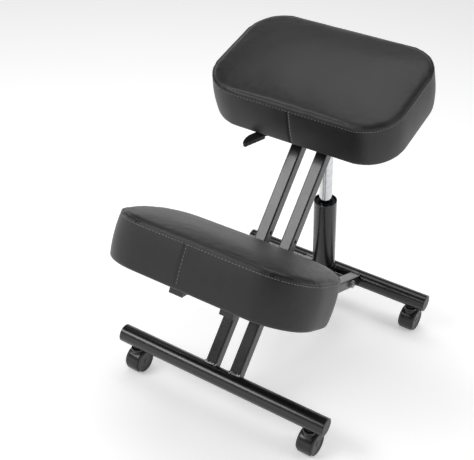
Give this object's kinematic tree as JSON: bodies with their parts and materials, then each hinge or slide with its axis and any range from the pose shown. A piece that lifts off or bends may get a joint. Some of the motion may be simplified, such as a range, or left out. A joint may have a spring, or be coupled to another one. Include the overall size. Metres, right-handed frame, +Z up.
{
  "type": "kneeling chair",
  "caption": "Kneeling chair on casters: padded seat and shin rest on a scissor frame of steel tubes, with a gas lift that raises the seat.",
  "frame": {"origin": "on the floor, under the middle of the whole chair", "axes": "+Z up; +X to the sitter's left, along the crossbars; -Y is the way the sitter faces, towards the knee pad"},
  "size_m": [0.4846, 0.642, 0.6821],
  "materials": {
    "frame_paint": "gloss",
    "weld_steel": "satin",
    "zinc_steel": "satin",
    "chrome": "polished",
    "black_plastic": "satin",
    "buffer_rubber": "matte",
    "plywood": "matte",
    "seat_cover": "satin",
    "hood_plastic": "gloss",
    "wheel_plastic": "satin"
  },
  "bodies": {
    "rear_frame": {"rear_crossbar": "frame_paint", "rear_frame_plugs": "black_plastic", "rear_stem_sleeves": "black_plastic", "rear_caster_stems": "zinc_steel", "side_bar_left": "frame_paint", "side_bar_right": "frame_paint", "side_bar_welds": "weld_steel", "frame_pivot_bolt": "zinc_steel", "frame_pivot_nut_and_washers": "zinc_steel", "cylinder_pivot_bolts": "zinc_steel"},
    "front_frame": {"front_crossbar": "frame_paint", "front_frame_plugs": "black_plastic", "front_stem_sleeves": "black_plastic", "front_caster_stems": "zinc_steel", "arm_left": "frame_paint", "arm_right": "frame_paint", "arm_welds": "weld_steel", "frame_pivot_sleeve": "zinc_steel", "seat_pivot_spacer": "zinc_steel", "seat_pivot_bolt": "zinc_steel", "seat_pivot_nut_and_washers": "zinc_steel", "knee_board": "plywood", "knee_cushion": "seat_cover", "knee_screws": "zinc_steel", "knee_bracket_left": "frame_paint", "knee_bracket_right": "frame_paint", "bracket_fasteners": "zinc_steel"},
    "gas_cylinder": {"gas_outer_tube": "frame_paint", "guide_bush": "black_plastic", "piston_rod": "zinc_steel", "piston_rod_clip": "zinc_steel", "end_buffer": "buffer_rubber", "cylinder_socket": "frame_paint"},
    "seat": {"pressure_tube": "chrome", "taper_hub": "frame_paint", "seat_board": "plywood", "seat_cushion": "seat_cover", "seat_screws": "zinc_steel", "seat_bracket": "frame_paint", "lever_pivot_pin": "zinc_steel"},
    "release_lever": {"release_lever": "frame_paint", "lever_grip": "black_plastic"},
    "valve_pin": {"valve_pin": "zinc_steel"},
    "caster_front_left": {"caster_hood_front_left": "hood_plastic", "caster_axle_front_left": "zinc_steel"},
    "caster_wheel_front_left_left": {"caster_wheel_front_left_left": "wheel_plastic"},
    "caster_wheel_front_left_right": {"caster_wheel_front_left_right": "wheel_plastic"},
    "caster_front_right": {"caster_hood_front_right": "hood_plastic", "caster_axle_front_right": "zinc_steel"},
    "caster_wheel_front_right_left": {"caster_wheel_front_right_left": "wheel_plastic"},
    "caster_wheel_front_right_right": {"caster_wheel_front_right_right": "wheel_plastic"},
    "caster_rear_left": {"caster_hood_rear_left": "hood_plastic", "caster_axle_rear_left": "zinc_steel"},
    "caster_wheel_rear_left_left": {"caster_wheel_rear_left_left": "wheel_plastic"},
    "caster_wheel_rear_left_right": {"caster_wheel_rear_left_right": "wheel_plastic"},
    "caster_rear_right": {"caster_hood_rear_right": "hood_plastic", "caster_axle_rear_right": "zinc_steel"},
    "caster_wheel_rear_right_left": {"caster_wheel_rear_right_left": "wheel_plastic"},
    "caster_wheel_rear_right_right": {"caster_wheel_rear_right_right": "wheel_plastic"}
  },
  "joints": [
    {"name": "seat_lift", "type": "slide", "parent": "gas_cylinder", "child": "seat", "axis": [0, -0.1461, 0.9893], "range_m": [-0.12, 0]},
    {"name": "cylinder_tilt", "type": "hinge", "parent": "rear_frame", "child": "gas_cylinder", "pos_m": [0, 0.23056, 0.102], "axis": [1, 0, 0], "range_deg": [-15.5, 0]},
    {"name": "frame_pivot", "type": "hinge", "parent": "rear_frame", "child": "front_frame", "pos_m": [0, -0.08677, 0.20879], "axis": [1, 0, 0], "range_deg": [-23.3, 0]},
    {"name": "lever_pivot", "type": "hinge", "parent": "seat", "child": "release_lever", "pos_m": [0, 0.13186, 0.52891], "axis": [1, 0, 0], "range_deg": [-4, 0], "stiffness_Nm_per_rad": 8, "springref_deg": 2.86},
    {"name": "valve_press", "type": "slide", "parent": "seat", "child": "valve_pin", "axis": [0, 0.1461, -0.9893], "range_m": [0, 0.0025]},
    {"name": "caster_swivel_front_left", "type": "hinge", "parent": "front_frame", "child": "caster_front_left", "pos_m": [0.2085, -0.19201, 0.05], "axis": [0, 0, 1], "continuous": true},
    {"name": "wheel_spin_front_left_left", "type": "hinge", "parent": "caster_front_left", "child": "caster_wheel_front_left_left", "pos_m": [0.2085, -0.18601, 0.025], "axis": [1, 0, 0], "continuous": true},
    {"name": "wheel_spin_front_left_right", "type": "hinge", "parent": "caster_front_left", "child": "caster_wheel_front_left_right", "pos_m": [0.2085, -0.18601, 0.025], "axis": [1, 0, 0], "continuous": true},
    {"name": "caster_swivel_front_right", "type": "hinge", "parent": "front_frame", "child": "caster_front_right", "pos_m": [-0.2085, -0.19201, 0.05], "axis": [0, 0, 1], "continuous": true},
    {"name": "wheel_spin_front_right_left", "type": "hinge", "parent": "caster_front_right", "child": "caster_wheel_front_right_left", "pos_m": [-0.2085, -0.18601, 0.025], "axis": [1, 0, 0], "continuous": true},
    {"name": "wheel_spin_front_right_right", "type": "hinge", "parent": "caster_front_right", "child": "caster_wheel_front_right_right", "pos_m": [-0.2085, -0.18601, 0.025], "axis": [1, 0, 0], "continuous": true},
    {"name": "caster_swivel_rear_left", "type": "hinge", "parent": "rear_frame", "child": "caster_rear_left", "pos_m": [0.199, 0.28999, 0.05], "axis": [0, 0, 1], "continuous": true},
    {"name": "wheel_spin_rear_left_left", "type": "hinge", "parent": "caster_rear_left", "child": "caster_wheel_rear_left_left", "pos_m": [0.199, 0.29599, 0.025], "axis": [1, 0, 0], "continuous": true},
    {"name": "wheel_spin_rear_left_right", "type": "hinge", "parent": "caster_rear_left", "child": "caster_wheel_rear_left_right", "pos_m": [0.199, 0.29599, 0.025], "axis": [1, 0, 0], "continuous": true},
    {"name": "caster_swivel_rear_right", "type": "hinge", "parent": "rear_frame", "child": "caster_rear_right", "pos_m": [-0.199, 0.28999, 0.05], "axis": [0, 0, 1], "continuous": true},
    {"name": "wheel_spin_rear_right_left", "type": "hinge", "parent": "caster_rear_right", "child": "caster_wheel_rear_right_left", "pos_m": [-0.199, 0.29599, 0.025], "axis": [1, 0, 0], "continuous": true},
    {"name": "wheel_spin_rear_right_right", "type": "hinge", "parent": "caster_rear_right", "child": "caster_wheel_rear_right_right", "pos_m": [-0.199, 0.29599, 0.025], "axis": [1, 0, 0], "continuous": true}
  ],
  "couplings": [
    {"joint": "cylinder_tilt", "follows": "seat_lift", "rad_per_m": 2.24},
    {"joint": "frame_pivot", "follows": "seat_lift", "rad_per_m": 3.37},
    {"joint": "valve_press", "follows": "lever_pivot", "m_per_rad": -0.0358}
  ]
}
